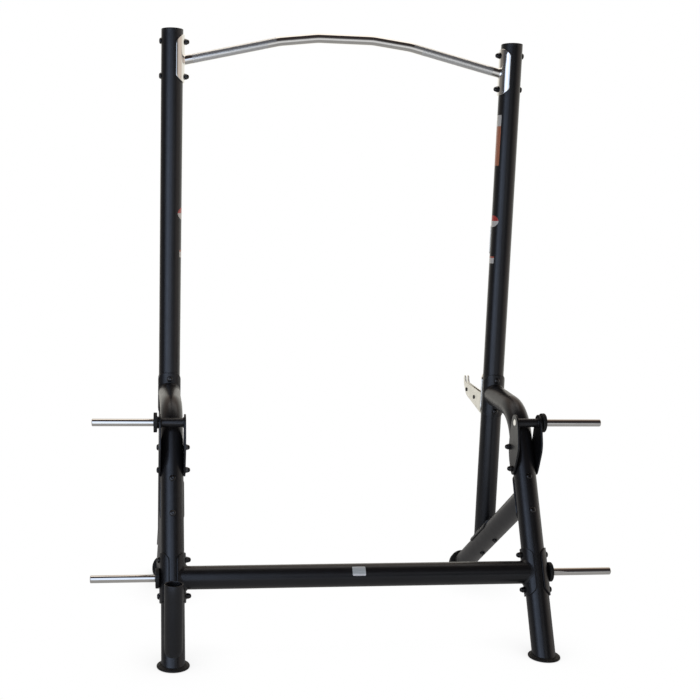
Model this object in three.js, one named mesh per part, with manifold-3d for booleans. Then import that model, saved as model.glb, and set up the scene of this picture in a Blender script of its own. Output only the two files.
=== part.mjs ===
// Free-standing half rack: two round uprights joined by a bent pull-up bar, each held by a curved
// rear leg and a diagonal brace, with plate pegs on the legs, spotter arms and a pair of bar hooks.
// Millimetres, +Z up, +Y towards the lifter, X across. Pieces are built with the upright axes at
// Y = 0, then the whole rack is moved so that the origin is at the centre of its footprint.

import * as THREE from 'three';
import { mergeVertices } from 'three/addons/utils/BufferGeometryUtils.js';
import Module from 'manifold-3d';

// ---- driving dimensions ---------------------------------------------------------------------------

const HALF_SPAN = 609.6;          // upright axis to the centre plane
const TUBE_R = 38.1;              // main tubes, 76.2 mm outside
const TUBE_WALL = 3;
const FIT_GAP = 0.3;              // between neighbouring pieces
const HEIGHT = 2048;              // top of the upright caps

const SADDLE_THICK = 5;
const SADDLE_LENGTH = 160;
const SADDLE_CORNER = 26;
const SADDLE_BOLT = 58.5;         // bolt to saddle centre, along the tube
const SADDLE_IN = TUBE_R + FIT_GAP;
const SADDLE_OUT = SADDLE_IN + SADDLE_THICK;

const LEG_FOOT_Y = -667.6;        // where the leg axis meets the floor
const LEG_SLOPE = 0.5033;         // forward run per unit of rise of the straight part
const LEG_TOP_Z = 773;            // leg axis where it meets the upright
const LEG_TOP_FALL = 0.07;        // fall of the upper run towards the bend, radians
const LEG_BEND_R = 150;

const BRACE_FOOT_Y = 287.2;       // where the brace axis would meet the floor
const BRACE_SLOPE = 1.467;        // rearward run per unit of rise
const BRACE_END_Z = 33;           // brace axis height at its square-cut front end
const BASE_SADDLE_LENGTH = 216;
const BASE_SADDLE_SHIFT = -45;    // centre of the upright's foot plate along the brace
const BASE_BOLT = 80;

const CROSS_Z = 249;              // crossmember axis
const BAR_SADDLE_Z = 1947;        // pull-up bar saddles
const COLLAR_Z = 769.5;           // leg collar on the upright

const PULLUP_R = 15.9;
const PULLUP_BENDS = [[98, 2037.5], [235, 2021]];    // distance from the centre plane, height
const PULLUP_END = [HALF_SPAN, 1934.1];
const PULLUP_BEND_R = 200;

const PEG_R = 12.5;
const PEG_FACETS = 16;
const PEG_TIP = 874;              // peg end to the centre plane
const HUB_R = 33;                 // peg stop discs
const HUB_THICK = 12;
const UPPER_HUB_NECK = 5.7;       // between the bracket and the upper discs
const NECK_R = 20;
const UPPER_PEG = [-380, 731];    // peg axis, y and z
const BRACKET_THICK = 6;
const BRACKET_BOLT_HEIGHTS = [640, 570];
const BRACKET_TUBE_R = 15;

const FLANGE_R = 52.5;            // rubber feet, the rearmost points of the rack
const FLANGE_THICK = 9;
const BOOT_R = 54;

const HOLDER_R = 30.15;           // upright sleeve for a stored bar
const HOLDER_BORE_R = 26;
const HOLDER_Y = -662;
const HOLDER_TOP = 270;

const ARM_PLATE = 4;              // spotter arm and hook plate thickness
const ARM_PLATE_X = 6.2;          // plate centre to the upright axis
const ARM_TIP_Y = 342;            // the foremost point of the rack
const ARM_SPACERS = [[296, 744], [195, 729]];
const RIVET_R = 4;

const HOOK_Z = 1350;              // pin height of the bar hooks
const HOOK_SADDLE_LENGTH = 116;
const HOOK_PIN_R = 7.8;
const HOOK_HOLE_R = 8.3;
const HOOK_HOLES = { first: 950, pitch: 100, count: 9 };

const BOLT_R = 5.8;               // M12 through bolts
const BOLT_HOLE_R = 6.5;
const HEAD_R = 10;
const HEAD_RISE = 7;
const NUT_R = 10;
const NUT_RISE = 8;
const THREAD_TAIL = 3;            // thread standing out of an open nut
const DOME_R = 8.4;               // acorn nuts
const DOME_RISE = 8;

const ROUND = 20;                 // facets round a main tube
const FACET = 2 * Math.PI / ROUND;
const BORE_FACETS = 12;
const BORE_R = TUBE_R - TUBE_WALL;
const PLUG_R = BORE_R * Math.cos(Math.PI / BORE_FACETS) - FIT_GAP;
const COPE_R = SADDLE_IN + 1.5;   // a tube's end runs this far into the thickness of its saddle
const SIDES = { left: -1, right: 1 };

// ---- materials ------------------------------------------------------------------------------------

const powderCoat = new THREE.MeshStandardMaterial({ color: 0x1b1c20, roughness: 0.42, metalness: 0.3 });
const chrome = new THREE.MeshStandardMaterial({ color: 0xc9ccd0, roughness: 0.12, metalness: 1 });
const satinNickel = new THREE.MeshStandardMaterial({ color: 0xc6c4bc, roughness: 0.38, metalness: 0.9 });
const blackOxide = new THREE.MeshStandardMaterial({ color: 0x0e0e10, roughness: 0.35, metalness: 0.8 });
const rubber = new THREE.MeshStandardMaterial({ color: 0x0c0c0d, roughness: 0.75, metalness: 0 });
const plastic = new THREE.MeshStandardMaterial({ color: 0x121214, roughness: 0.5, metalness: 0 });

// ---- solids ---------------------------------------------------------------------------------------

const wasm = await Module();
wasm.setup();

const vec = (x, y, z) => new THREE.Vector3(x, y, z);

// A closed three.js geometry as a solid that can be joined and cut.
function solidOf(geometry) {
  const loose = geometry.index ? geometry.toNonIndexed() : geometry.clone();
  loose.deleteAttribute('normal');
  loose.deleteAttribute('uv');
  const merged = mergeVertices(loose, 1e-4);
  const triVerts = new Uint32Array(merged.index.array);
  const vertProperties = merged.getAttribute('position').array;
  return new wasm.Manifold(new wasm.Mesh({ numProp: 3, vertProperties, triVerts }));
}

function geometryOf(solid) {
  const mesh = solid.getMesh();
  const geometry = new THREE.BufferGeometry();
  geometry.setAttribute('position', new THREE.BufferAttribute(mesh.vertProperties, 3));
  geometry.setIndex(new THREE.BufferAttribute(mesh.triVerts, 1));
  geometry.computeVertexNormals();
  return geometry;
}

const join = (solids) => solids.reduce((whole, piece) => whole.add(piece));
const cut = (solid, tools) => tools.reduce((left, tool) => left.subtract(tool), solid);

// A geometry built round +Y, turned to a direction and moved to a point.
function aim(geometry, origin, direction) {
  const turn = new THREE.Quaternion().setFromUnitVectors(vec(0, 1, 0), direction.clone().normalize());
  return geometry.applyQuaternion(turn).translate(origin.x, origin.y, origin.z);
}

function rod(radius, from, to, facets = ROUND) {
  const run = to.clone().sub(from);
  const geometry = new THREE.CylinderGeometry(radius, radius, run.length(), facets);
  return solidOf(aim(geometry, from.clone().addScaledVector(run, 0.5), run));
}

// A profile of [radius, distance] pairs, starting and ending on the axis, turned about a direction.
function turned(profile, origin, direction, facets = ROUND) {
  const points = profile.map(([radius, distance]) => new THREE.Vector2(radius, distance));
  return solidOf(aim(new THREE.LatheGeometry(points, facets), origin, direction));
}

function block(low, high) {
  const size = high.clone().sub(low);
  const middle = low.clone().add(high).multiplyScalar(0.5);
  const geometry = new THREE.BoxGeometry(size.x, size.y, size.z);
  return solidOf(geometry.translate(middle.x, middle.y, middle.z));
}

// A flat outline in the Y-Z plane, given thickness across X, centred on the plane x.
function plateAcross(shape, thickness, x) {
  const geometry = new THREE.ExtrudeGeometry(shape,
    { depth: thickness, bevelEnabled: false, curveSegments: 3 });
  const yzx = new THREE.Matrix4().makeBasis(vec(0, 1, 0), vec(0, 0, 1), vec(1, 0, 0));
  return solidOf(geometry.applyMatrix4(yzx).translate(x - thickness / 2, 0, 0));
}

// A path of straight runs and round bends, swept station by station.
class BentPath extends THREE.Curve {
  constructor(corners, bendRadius, stepsPerBend) {
    super();
    this.stations = [];
    const unit = (a, b) => b.clone().sub(a).normalize();
    corners.forEach((corner, i) => {
      if (i === 0 || i === corners.length - 1) {
        const tangent = i === 0 ? unit(corner, corners[1]) : unit(corners[i - 1], corner);
        this.stations.push({ point: corner, tangent });
        return;
      }
      const before = unit(corners[i - 1], corner);
      const after = unit(corner, corners[i + 1]);
      const turn = before.angleTo(after);
      const centreLine = after.clone().sub(before).normalize();
      const centre = corner.clone().addScaledVector(centreLine, bendRadius / Math.cos(turn / 2));
      for (let k = 0; k <= stepsPerBend; k++) {
        const angle = (k / stepsPerBend - 0.5) * turn;
        const side = before.clone().add(after).normalize();
        const point = centre.clone()
          .addScaledVector(centreLine, -bendRadius * Math.cos(angle))
          .addScaledVector(side, bendRadius * Math.sin(angle));
        const tangent = side.clone().multiplyScalar(Math.cos(angle))
          .addScaledVector(centreLine, Math.sin(angle));
        this.stations.push({ point, tangent });
      }
    });
    this.steps = this.stations.length - 1;
  }

  getPointAt(t) {
    return this.stations[Math.round(t * this.steps)].point.clone();
  }

  getTangentAt(t) {
    return this.stations[Math.round(t * this.steps)].tangent.clone();
  }
}

function bentRod(radius, path, facets = ROUND) {
  const circle = new THREE.Shape().absarc(0, 0, radius, 0, 2 * Math.PI, false);
  const options = { steps: path.steps, extrudePath: path, curveSegments: facets / 2 };
  return solidOf(new THREE.ExtrudeGeometry(circle, options));
}

function roundedRectangle(width, height, corner) {
  const [x, y] = [width / 2, height / 2];
  const shape = new THREE.Shape();
  shape.absarc(x - corner, y - corner, corner, 0, Math.PI / 2, false);
  shape.absarc(corner - x, y - corner, corner, Math.PI / 2, Math.PI, false);
  shape.absarc(corner - x, corner - y, corner, Math.PI, 1.5 * Math.PI, false);
  shape.absarc(x - corner, corner - y, corner, 1.5 * Math.PI, 2 * Math.PI, false);
  return shape;
}

// A rolled plate that wraps one side of a main tube: centred at a point on the tube's axis,
// bulging towards `facing`, long in the direction `along`.
function saddle(centre, facing, along, { length = SADDLE_LENGTH, facetsEachWay = 4,
  inner = SADDLE_IN, thick = SADDLE_THICK, corner = SADDLE_CORNER } = {}) {
  const halfAngle = facetsEachWay * FACET;
  const section = new THREE.Shape();
  section.absarc(0, 0, inner + thick, -halfAngle, halfAngle, false);
  section.absarc(0, 0, inner, halfAngle, -halfAngle, true);
  const rolled = new THREE.ExtrudeGeometry(section,
    { depth: length, bevelEnabled: false, curveSegments: facetsEachWay });
  const width = 2 * (inner + thick) * Math.sin(halfAngle);
  const outline = roundedRectangle(width, length, corner);
  const trim = new THREE.ExtrudeGeometry(outline,
    { depth: 3 * inner, bevelEnabled: false, curveSegments: 2 });
  const yzx = new THREE.Matrix4().makeBasis(vec(0, 1, 0), vec(0, 0, 1), vec(1, 0, 0));
  const frame = new THREE.Matrix4().makeBasis(facing, along.clone().cross(facing), along).setPosition(centre);
  rolled.translate(0, 0, -length / 2).applyMatrix4(frame);
  trim.applyMatrix4(yzx).applyMatrix4(frame);
  return solidOf(rolled).intersect(solidOf(trim));
}

// ---- the lines the rack is built on ---------------------------------------------------------------

const UP = vec(0, 0, 1);
const FRONT = vec(0, 1, 0);
const BACK = vec(0, -1, 0);

const legUp = vec(0, LEG_SLOPE, 1).normalize();
const legFront = vec(0, legUp.z, -legUp.y);         // square to the leg, towards the lifter
const legAxis = (x, z) => vec(x, LEG_FOOT_Y + LEG_SLOPE * z, z);

const braceDown = vec(0, BRACE_SLOPE, -1).normalize();
const braceTop = vec(0, -braceDown.z, braceDown.y); // square to the brace, upwards
const braceAxis = (x, z) => vec(x, BRACE_FOOT_Y - BRACE_SLOPE * z, z);
const BRACE_UPRIGHT_Z = BRACE_FOOT_Y / BRACE_SLOPE; // the two axes cross here
const BRACE_LEG_Z = (BRACE_FOOT_Y - LEG_FOOT_Y) / (LEG_SLOPE + BRACE_SLOPE);

const step = (point, direction, distance) => point.clone().addScaledVector(direction, distance);

// ---- bolts ----------------------------------------------------------------------------------------

// Every joint is closed by two through bolts. `towardsNut` runs from head to nut; the seats are
// distances from the tube axis to the face under the head and under the nut.
function boltsOf(side, name) {
  const x = side * HALF_SPAN;
  const inward = vec(-side, 0, 0);
  const pair = (label, centre, along, offset, rest) => [
    { name: `${label}_bolt_upper_${name}`, centre: step(centre, along, offset), ...rest },
    { name: `${label}_bolt_lower_${name}`, centre: step(centre, along, -offset), ...rest },
  ];
  const bare = TUBE_R + FIT_GAP;
  const plated = SADDLE_OUT + FIT_GAP;
  const bracket = TUBE_R + BRACKET_THICK + 2 * FIT_GAP;
  const baseCentre = step(braceAxis(x, BRACE_UPRIGHT_Z), braceDown, BASE_SADDLE_SHIFT);
  return {
    pullup: pair('pullup', vec(x, 0, BAR_SADDLE_Z), UP, SADDLE_BOLT,
      { towardsNut: inward, headSeat: bare, nutSeat: plated, acorn: true }),
    collar: pair('collar', vec(x, 0, COLLAR_Z), UP, SADDLE_BOLT,
      { towardsNut: FRONT, headSeat: plated, nutSeat: plated, acorn: false }),
    base: pair('base', baseCentre, braceDown.clone().negate(), BASE_BOLT,
      { towardsNut: braceTop, headSeat: bare, nutSeat: plated, acorn: false }),
    brace: pair('brace', legAxis(x, BRACE_LEG_Z), legUp, SADDLE_BOLT,
      { towardsNut: legFront, headSeat: bare, nutSeat: plated, acorn: false }),
    cross: pair('crossmember', legAxis(x, CROSS_Z), legUp, SADDLE_BOLT,
      { towardsNut: inward, headSeat: plated, nutSeat: plated, acorn: true }),
    bracket: BRACKET_BOLT_HEIGHTS.map((z, i) => ({
      name: `peg_bracket_bolt_${['upper', 'lower'][i]}_${name}`, centre: legAxis(x, z),
      towardsNut: inward, headSeat: bracket, nutSeat: bracket, acorn: true })),
  };
}

const drillsFor = (bolts) => bolts.map(({ centre, towardsNut }) =>
  rod(BOLT_HOLE_R, step(centre, towardsNut, -80), step(centre, towardsNut, 80), 8));

// A domed bolt with its nut run up tight; an acorn nut has a closed dome over the thread.
function bolt({ centre, towardsNut, headSeat, nutSeat, acorn }) {
  const under = HEAD_RISE;
  const seat = under + headSeat + nutSeat;
  const nutTop = seat + NUT_RISE;
  const tail = acorn
    ? [[BOLT_R, nutTop - 4], [DOME_R, nutTop - 4], [DOME_R, nutTop + DOME_RISE / 2],
      [DOME_R / 2, nutTop + DOME_RISE]]
    : [[BOLT_R, nutTop + THREAD_TAIL]];
  const profile = [[0, 0], [0.7 * HEAD_R, 0], [HEAD_R, under], [BOLT_R, under], ...tail, [0, tail.at(-1)[1]]];
  const headTop = step(centre, towardsNut, -headSeat - HEAD_RISE);
  const nut = rod(NUT_R, step(headTop, towardsNut, seat), step(headTop, towardsNut, nutTop), 6);
  return join([turned(profile, headTop, towardsNut, 8), nut]);
}

// ---- pieces ---------------------------------------------------------------------------------------

const uprightCore = (x) => rod(COPE_R, vec(x, 0, 0), vec(x, 0, HEIGHT + 50));
const legCore = (x) => rod(COPE_R, legAxis(x, -60), legAxis(x, 640));
const braceCore = (x) => rod(COPE_R, braceAxis(x, -60), braceAxis(x, 560));

const CAP_THICK = 5;

// The tube stands on a rolled foot plate that is bolted down on top of the brace.
function upright(side, bolts) {
  const x = side * HALF_SPAN;
  const crossing = braceAxis(x, BRACE_UPRIGHT_Z);
  const tube = rod(TUBE_R, crossing, vec(x, 0, HEIGHT - CAP_THICK - FIT_GAP));
  const footPlate = saddle(step(crossing, braceDown, BASE_SADDLE_SHIFT), braceTop, braceDown,
    { length: BASE_SADDLE_LENGTH });
  const floorOfBore = BRACE_UPRIGHT_Z + SADDLE_OUT / braceTop.z + TUBE_R * BRACE_SLOPE ** -1;
  const bore = rod(BORE_R, vec(x, 0, floorOfBore), vec(x, 0, HEIGHT + 1), BORE_FACETS);
  const hookHoles = Array.from({ length: HOOK_HOLES.count }, (_, i) => {
    const z = HOOK_HOLES.first + i * HOOK_HOLES.pitch;
    return rod(HOOK_HOLE_R, vec(x, 5, z), vec(x, 60, z), 10);
  });
  const drills = drillsFor([...bolts.pullup, ...bolts.collar, ...bolts.base]);
  return cut(join([cut(tube, [braceCore(x)]), footPlate]), [bore, ...hookHoles, ...drills]);
}

// A push-in plug with a chamfered head.
function uprightCap(side) {
  return turned([[0, -22], [PLUG_R, -22], [PLUG_R, 0], [TUBE_R, 0], [TUBE_R, 3.6], [TUBE_R - 2, CAP_THICK],
    [0, CAP_THICK]], vec(side * HALF_SPAN, 0, HEIGHT - CAP_THICK), UP);
}

// A collar plate behind the upright, then one bend down to the floor.
function rearLeg(side, bolts) {
  const x = side * HALF_SPAN;
  const run = Math.tan(LEG_TOP_FALL);
  const bendZ = (LEG_TOP_Z + run * (LEG_FOOT_Y + SADDLE_OUT)) / (1 - run * LEG_SLOPE);
  const path = (start) => new BentPath([
    vec(x, start, LEG_TOP_Z + run * (start + SADDLE_OUT)),
    legAxis(x, bendZ),
    legAxis(x, -60),
  ], LEG_BEND_R, 5);
  const collar = saddle(vec(x, 0, COLLAR_Z), BACK, UP);
  const floorCut = block(vec(x - 100, -900, -200), vec(x + 100, 0, FLANGE_THICK + FIT_GAP));
  const bore = bentRod(BORE_R, path(-SADDLE_OUT - 2), BORE_FACETS);
  const drills = drillsFor([...bolts.collar, ...bolts.brace, ...bolts.cross, ...bolts.bracket]);
  return cut(join([cut(bentRod(TUBE_R, path(0)), [uprightCore(x)]), collar]), [bore, floorCut, ...drills]);
}

// From the front foot up to a saddle on the front of the leg.
function brace(side, bolts) {
  const x = side * HALF_SPAN;
  const meeting = legAxis(x, BRACE_LEG_Z);
  const tube = rod(TUBE_R, braceAxis(x, BRACE_END_Z), meeting);
  const boreEnd = step(meeting, braceDown, (SADDLE_OUT + 2) / Math.abs(braceDown.dot(legFront)) + 12);
  const bore = rod(BORE_R, braceAxis(x, BRACE_END_Z - 20), boreEnd, BORE_FACETS);
  const drills = drillsFor([...bolts.brace, ...bolts.base]);
  return cut(join([cut(tube, [legCore(x)]), saddle(meeting, legFront, legUp)]), [bore, ...drills]);
}

// One straight tube with a saddle welded to each end and a vent hole underneath.
function crossmember(bolts) {
  const end = (side) => legAxis(side * HALF_SPAN, CROSS_Z);
  const plates = Object.values(SIDES).map((side) => saddle(end(side), vec(-side, 0, 0), legUp));
  const boreReach = HALF_SPAN - SADDLE_OUT - 3;
  const middle = legAxis(0, CROSS_Z);
  const across = vec(1, 0, 0);
  const bore = rod(BORE_R, step(middle, across, -boreReach), step(middle, across, boreReach), BORE_FACETS);
  const ventTop = step(middle, across, boreReach - 25);
  const vent = rod(4, step(ventTop, UP, -60), ventTop, 8);
  const tube = cut(rod(TUBE_R, end(-1), end(1)), [legCore(-HALF_SPAN), legCore(HALF_SPAN)]);
  return cut(join([tube, ...plates]), [bore, vent, ...drillsFor(bolts)]);
}

// The chromed overhead bar: five straight runs, four easy bends, a saddle at each end.
function pullupBar(bolts) {
  const half = [...PULLUP_BENDS, PULLUP_END];
  const reach = (points) => [
    ...points.map(([x, z]) => vec(-x, 0, z)).reverse(),
    ...points.map(([x, z]) => vec(x, 0, z)),
  ];
  const slope = (PULLUP_BENDS[1][1] - PULLUP_END[1]) / (PULLUP_END[0] - PULLUP_BENDS[1][0]);
  const boreX = HALF_SPAN - SADDLE_OUT - 3;
  const boreEnd = [boreX, PULLUP_END[1] + slope * (HALF_SPAN - boreX)];
  const outer = bentRod(PULLUP_R, new BentPath(reach(half), PULLUP_BEND_R, 2), 16);
  const bore = bentRod(PULLUP_R - TUBE_WALL,
    new BentPath(reach([...PULLUP_BENDS, boreEnd]), PULLUP_BEND_R, 2), 8);
  const ventTop = vec(boreX - 20, 0, boreEnd[1]);
  const vent = rod(3, step(ventTop, UP, -40), ventTop, 8);
  const plates = Object.values(SIDES).map((side) =>
    saddle(vec(side * HALF_SPAN, 0, BAR_SADDLE_Z), vec(-side, 0, 0), UP));
  const coped = cut(outer, [uprightCore(-HALF_SPAN), uprightCore(HALF_SPAN)]);
  return cut(join([coped, ...plates]), [bore, vent, ...drillsFor(bolts)]);
}

// Two leaf-shaped cheek plates and the cross tube that carries the peg.
function pegBracket(side, bolts) {
  const x = side * HALF_SPAN;
  const [pegY, pegZ] = UPPER_PEG;
  const leaf = new THREE.SplineCurve([
    [0, 28], [24, 14], [37, -38], [43, -92], [31, -136], [8, -174], [-6, -181],
    [-19, -174], [-36, -131], [-50, -82], [-41, -32], [-26, 12], [0, 28],
  ].map(([y, z]) => new THREE.Vector2(pegY + y, pegZ + z)));
  const outline = new THREE.Shape(leaf.getPoints(24).slice(0, -1));
  const offset = TUBE_R + FIT_GAP + BRACKET_THICK / 2;
  const cheeks = [-1, 1].map((way) => plateAcross(outline, BRACKET_THICK, x + way * offset));
  const at = (dx) => vec(x + dx, pegY, pegZ);
  const crossTube = rod(BRACKET_TUBE_R, at(-offset), at(offset), PEG_FACETS);
  const bore = rod(PEG_R + FIT_GAP, at(-100), at(100), PEG_FACETS);
  return cut(join([...cheeks, crossTube]), [bore, ...drillsFor(bolts.bracket)]);
}

function peg(side, start, y, z) {
  const chamfer = 2;
  const length = PEG_TIP - start;
  return turned([[0, 0], [PEG_R, 0], [PEG_R, length - chamfer], [PEG_R - chamfer, length], [0, length]],
    vec(side * start, y, z), vec(side, 0, 0), PEG_FACETS);
}

// The round stop that keeps a plate off the frame: a chamfered disc, on a neck where it has one.
function hub(side, start, neck, y, z) {
  const face = neck + HUB_THICK;
  const foot = neck > 0 ? [[0, 0], [NECK_R, 0], [NECK_R, neck], [HUB_R, neck]] : [[0, 0], [HUB_R, 0]];
  const body = turned([...foot, [HUB_R, face - 2], [HUB_R - 2, face], [0, face]],
    vec(side * start, y, z), vec(side, 0, 0));
  const bore = rod(PEG_R + FIT_GAP, vec(side * (start - 5), y, z), vec(side * (start + face + 5), y, z),
    PEG_FACETS);
  return cut(body, [bore]);
}

function rearFoot(side) {
  const x = side * HALF_SPAN;
  const disc = turned([[0, 0], [FLANGE_R, 0], [FLANGE_R, 5], [FLANGE_R - 4, FLANGE_THICK],
    [0, FLANGE_THICK]], vec(x, LEG_FOOT_Y, 0), UP);
  const plug = rod(PLUG_R, legAxis(x, -30), legAxis(x, 34));
  const below = block(vec(x - 90, LEG_FOOT_Y - 90, -90), vec(x + 90, LEG_FOOT_Y + 90, 1));
  return join([disc, cut(plug, [below])]);
}

// A round boot pushed into the end of the brace and cut flat where it stands on the floor.
function frontFoot(side) {
  const x = side * HALF_SPAN;
  const boot = turned([[0, -24], [PLUG_R, -24], [PLUG_R, FIT_GAP], [BOOT_R - 4, FIT_GAP], [BOOT_R, 5],
    [BOOT_R, 30], [BOOT_R - 6, 42], [BOOT_R - 22, 52], [0, 56]], braceAxis(x, BRACE_END_Z), braceDown);
  return cut(boot, [block(vec(x - 90, 0, -150), vec(x + 90, 400, 0))]);
}

// The sleeve behind the left leg that holds a bar on end; its lower edge is shaped to the leg.
function barHolder() {
  const x = -HALF_SPAN;
  const tube = rod(HOLDER_R, vec(x, HOLDER_Y, 0), vec(x, HOLDER_Y, HOLDER_TOP));
  const bore = rod(HOLDER_BORE_R, vec(x, HOLDER_Y, -10), vec(x, HOLDER_Y, HOLDER_TOP + 10));
  const front = block(vec(x - 60, LEG_FOOT_Y - 60, -10), vec(x + 60, HOLDER_Y + 60, 12));
  const cope = (ahead) => rod(TUBE_R + 2 * FIT_GAP, step(legAxis(x, -200), legFront, ahead),
    step(legAxis(x, 640), legFront, ahead));
  return cut(tube, [bore, front, ...[0, 30, 60, 90].map(cope)]);
}

// Two upturned side plates on a saddle that shares the collar bolts.
function spotterArm(side, bolts) {
  const x = side * HALF_SPAN;
  const outline = new THREE.Shape();
  outline.moveTo(SADDLE_OUT - 1.5, 727);
  outline.lineTo(60, 724);
  outline.lineTo(60, 692);
  outline.quadraticCurveTo(60, 672, 80, 674.5);
  outline.lineTo(276, 717);
  outline.quadraticCurveTo(304, 723, 314, 738);
  outline.lineTo(334, 763);
  outline.lineTo(ARM_TIP_Y, 787);
  outline.absarc(329, 786, 11, 0, Math.PI, false);
  outline.lineTo(313, 776);
  outline.quadraticCurveTo(311, 771, 303, 770.5);
  outline.lineTo(100, 757);
  outline.quadraticCurveTo(80, 757, 68, 780);
  outline.quadraticCurveTo(58, 800, SADDLE_OUT - 1.5, 812);
  const plates = [-1, 1].map((way) => plateAcross(outline, ARM_PLATE, x + way * ARM_PLATE_X));
  const holes = ARM_SPACERS.map(([y, z]) =>
    rod(RIVET_R + 2 * FIT_GAP, vec(x - 20, y, z), vec(x + 20, y, z), 8));
  return cut(join([saddle(vec(x, 0, COLLAR_Z), FRONT, UP), ...plates]),
    [...holes, ...drillsFor(bolts.collar)]);
}

// A rivet with a sleeve that holds the two arm plates apart, turned in one profile.
function armSpacer(side, [y, z]) {
  const inside = ARM_PLATE_X - ARM_PLATE / 2 - FIT_GAP;
  const outside = ARM_PLATE_X + ARM_PLATE / 2 + FIT_GAP;
  const half = [[8, inside], [RIVET_R, inside], [RIVET_R, outside], [8, outside], [6, outside + 3.6],
    [0, outside + 3.6]];
  const mirrored = half.map(([radius, dx]) => [radius, -dx]).reverse();
  return turned([...mirrored, ...half], vec(side * HALF_SPAN, y, z), vec(1, 0, 0), 8);
}

// A lift-off hook: two J plates on a short saddle, with a pin that enters a hole in the upright.
function barHook(side) {
  const x = side * HALF_SPAN;
  const inner = TUBE_R + 2 * FIT_GAP;
  const thick = 4;
  const root = inner + thick - 1.5;
  const seatY = 64;
  const seatR = 15;
  const outline = new THREE.Shape();
  outline.moveTo(root, HOOK_Z - 50);
  outline.lineTo(52, HOOK_Z - 50);
  outline.quadraticCurveTo(86, HOOK_Z - 36, 91, HOOK_Z + 4);
  outline.lineTo(92, HOOK_Z + 26);
  outline.absarc(86, HOOK_Z + 26, 6, 0, Math.PI, false);
  outline.lineTo(seatY + seatR, HOOK_Z + 4);
  outline.absarc(seatY, HOOK_Z + 4, seatR, 0, -Math.PI, true);
  outline.lineTo(seatY - seatR, HOOK_Z + 50);
  outline.lineTo(root, HOOK_Z + 54);
  const plates = [-1, 1].map((way) => plateAcross(outline, ARM_PLATE, x + way * ARM_PLATE_X));
  const back = saddle(vec(x, 0, HOOK_Z), FRONT, UP,
    { length: HOOK_SADDLE_LENGTH, facetsEachWay: 3, inner, thick, corner: 14 });
  const pin = turned([[0, 0], [HOOK_PIN_R - 2, 0], [HOOK_PIN_R, 3], [HOOK_PIN_R, 28], [0, 28]],
    vec(x, inner + 2 - 28, HOOK_Z), FRONT, 12);
  return join([back, pin, ...plates]);
}

// ---- assembly -------------------------------------------------------------------------------------

const rack = new THREE.Group();
const footprintCentreY = (LEG_FOOT_Y - FLANGE_R + ARM_TIP_Y) / 2;

function add(name, solid, material) {
  const mesh = new THREE.Mesh(geometryOf(solid).translate(0, -footprintCentreY, 0), material);
  mesh.name = name;
  rack.add(mesh);
}

const bolts = Object.fromEntries(Object.entries(SIDES).map(([name, side]) => [name, boltsOf(side, name)]));
const both = (kind) => [...bolts.left[kind], ...bolts.right[kind]];

for (const [name, side] of Object.entries(SIDES)) {
  const own = bolts[name];
  const [pegY, pegZ] = UPPER_PEG;
  const low = legAxis(side * HALF_SPAN, CROSS_Z);
  const onSaddle = HALF_SPAN + SADDLE_OUT + FIT_GAP;
  const onBracket = HALF_SPAN + TUBE_R + BRACKET_THICK + 2 * FIT_GAP;
  add(`upright_${name}`, upright(side, own), powderCoat);
  add(`upright_cap_${name}`, uprightCap(side), plastic);
  add(`rear_leg_${name}`, rearLeg(side, own), powderCoat);
  add(`brace_${name}`, brace(side, own), powderCoat);
  add(`peg_bracket_${name}`, pegBracket(side, own), powderCoat);
  add(`upper_peg_${name}`, peg(side, HALF_SPAN - TUBE_R - BRACKET_THICK, pegY, pegZ), chrome);
  add(`upper_peg_hub_${name}`, hub(side, onBracket, UPPER_HUB_NECK, pegY, pegZ), rubber);
  add(`lower_peg_saddle_${name}`, cut(saddle(low, vec(side, 0, 0), legUp), drillsFor(own.cross)), powderCoat);
  add(`lower_peg_${name}`, peg(side, onSaddle, low.y, low.z), chrome);
  add(`lower_peg_hub_${name}`, hub(side, onSaddle, 0, low.y, low.z), rubber);
  add(`rear_foot_${name}`, rearFoot(side), rubber);
  add(`front_foot_${name}`, frontFoot(side), rubber);
  add(`spotter_arm_${name}`, spotterArm(side, own), satinNickel);
  add(`arm_spacer_front_${name}`, armSpacer(side, ARM_SPACERS[0]), blackOxide);
  add(`arm_spacer_rear_${name}`, armSpacer(side, ARM_SPACERS[1]), blackOxide);
  add(`bar_hook_${name}`, barHook(side), satinNickel);
  for (const each of Object.values(own).flat()) {
    add(each.name, bolt(each), blackOxide);
  }
}
add('crossmember', crossmember(both('cross')), powderCoat);
add('pullup_bar', pullupBar(both('pullup')), chrome);
add('bar_holder', barHolder(), powderCoat);

export default rack;
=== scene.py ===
import math

import bmesh
import bpy
from mathutils import Matrix, Vector


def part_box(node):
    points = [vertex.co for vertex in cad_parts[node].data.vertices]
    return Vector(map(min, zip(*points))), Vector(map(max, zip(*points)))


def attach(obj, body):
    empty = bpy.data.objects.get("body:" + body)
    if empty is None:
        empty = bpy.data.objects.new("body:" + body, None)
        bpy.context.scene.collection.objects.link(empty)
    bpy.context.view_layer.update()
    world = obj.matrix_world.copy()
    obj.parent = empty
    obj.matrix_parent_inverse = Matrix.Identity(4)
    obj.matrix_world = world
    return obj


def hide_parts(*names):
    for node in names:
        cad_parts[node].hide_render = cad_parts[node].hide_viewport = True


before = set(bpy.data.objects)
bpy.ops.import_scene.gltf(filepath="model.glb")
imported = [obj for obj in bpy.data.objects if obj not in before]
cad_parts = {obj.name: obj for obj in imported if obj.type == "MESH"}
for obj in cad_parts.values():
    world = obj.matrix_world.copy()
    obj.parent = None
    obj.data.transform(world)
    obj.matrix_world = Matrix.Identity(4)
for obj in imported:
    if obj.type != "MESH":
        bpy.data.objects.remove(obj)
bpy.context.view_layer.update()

# All lengths below are millimetres in the row frame; meshes are scaled to metres as they are made.
MM = 0.001

# ---- sizes shared by the pieces --------

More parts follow.
